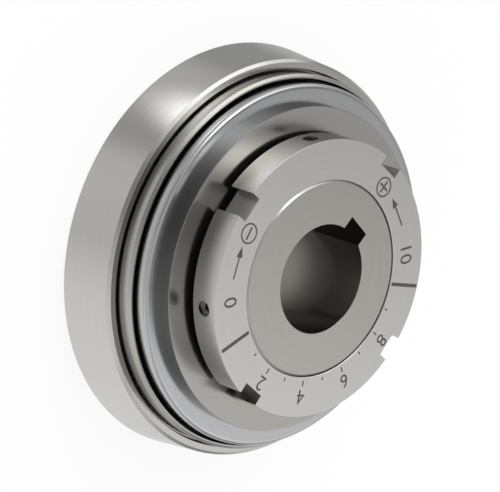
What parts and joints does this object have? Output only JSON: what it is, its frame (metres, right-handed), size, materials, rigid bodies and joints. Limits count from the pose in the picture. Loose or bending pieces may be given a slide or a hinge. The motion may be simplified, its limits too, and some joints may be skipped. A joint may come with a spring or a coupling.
{
  "type": "overload safety coupling",
  "caption": "Keyed hub with a slotted adjusting nut, disc springs and spring-loaded detent balls that release a conical drum on a ball bearing at overload.",
  "frame": {"origin": "centre of the drum's rear face, on the axis", "axes": "+Z along the axis towards the adjusting nut; the keyway lies on +Y"},
  "size_m": [0.114, 0.114, 0.0388],
  "materials": {
    "bright_steel": "fine turned",
    "hub_steel": "fine turned",
    "blue_steel": "ground",
    "nut_steel": "satin turned",
    "inner_steel": "turned, oiled",
    "hard_steel": "hardened and polished",
    "spring_steel": "phosphated",
    "brass": "plain",
    "seal_rubber": "matt"
  },
  "bodies": {
    "hub_body": {"hub": "hub_steel", "bearing_inner_ring": "hard_steel", "bearing_circlip": "spring_steel"},
    "drum_body": {"drive_drum": "bright_steel", "pocket_ring": "hard_steel", "torque_pins": "hard_steel", "cover_ring": "bright_steel", "cover_snap_ring": "spring_steel", "bearing_outer_ring": "hard_steel", "bearing_shields": "inner_steel", "rear_shield": "inner_steel"},
    "cage_body": {"bearing_cage": "inner_steel", "bearing_balls": "hard_steel"},
    "shift_body": {"shift_ring": "blue_steel", "cover_disc": "bright_steel", "inner_seal": "seal_rubber", "outer_seal": "seal_rubber", "detent_balls": "hard_steel"},
    "thrust_body": {"thrust_washer": "inner_steel", "disc_spring_lower": "spring_steel", "disc_spring_upper": "spring_steel"},
    "nut_body": {"adjusting_nut": "nut_steel", "lock_screws": "spring_steel", "lock_pads": "brass"}
  },
  "joints": [
    {"name": "drum_slip", "type": "hinge", "parent": "hub_body", "child": "drum_body", "pos_m": [0, 0, 0.0065], "axis": [0, 0, 1], "continuous": true},
    {"name": "cage_spin", "type": "hinge", "parent": "hub_body", "child": "cage_body", "pos_m": [0, 0, 0.0065], "axis": [0, 0, 1], "continuous": true},
    {"name": "shift_lift", "type": "slide", "parent": "hub_body", "child": "shift_body", "axis": [0, 0, 1], "range_m": [-0.0015, 0], "deforming": ["disc_spring_lower", "disc_spring_upper"]},
    {"name": "nut_feed", "type": "slide", "parent": "hub_body", "child": "thrust_body", "axis": [0, 0, 1], "range_m": [-0.0003072, 0.0003072]},
    {"name": "nut_turn", "type": "hinge", "parent": "thrust_body", "child": "nut_body", "pos_m": [0, 0, 0.0346], "axis": [0, 0, 1], "range_deg": [-73, 73]}
  ],
  "couplings": [
    {"joint": "cage_spin", "follows": "drum_slip", "ratio": 0.53478},
    {"joint": "nut_feed", "follows": "nut_turn", "m_per_rad": 0.00023873}
  ]
}
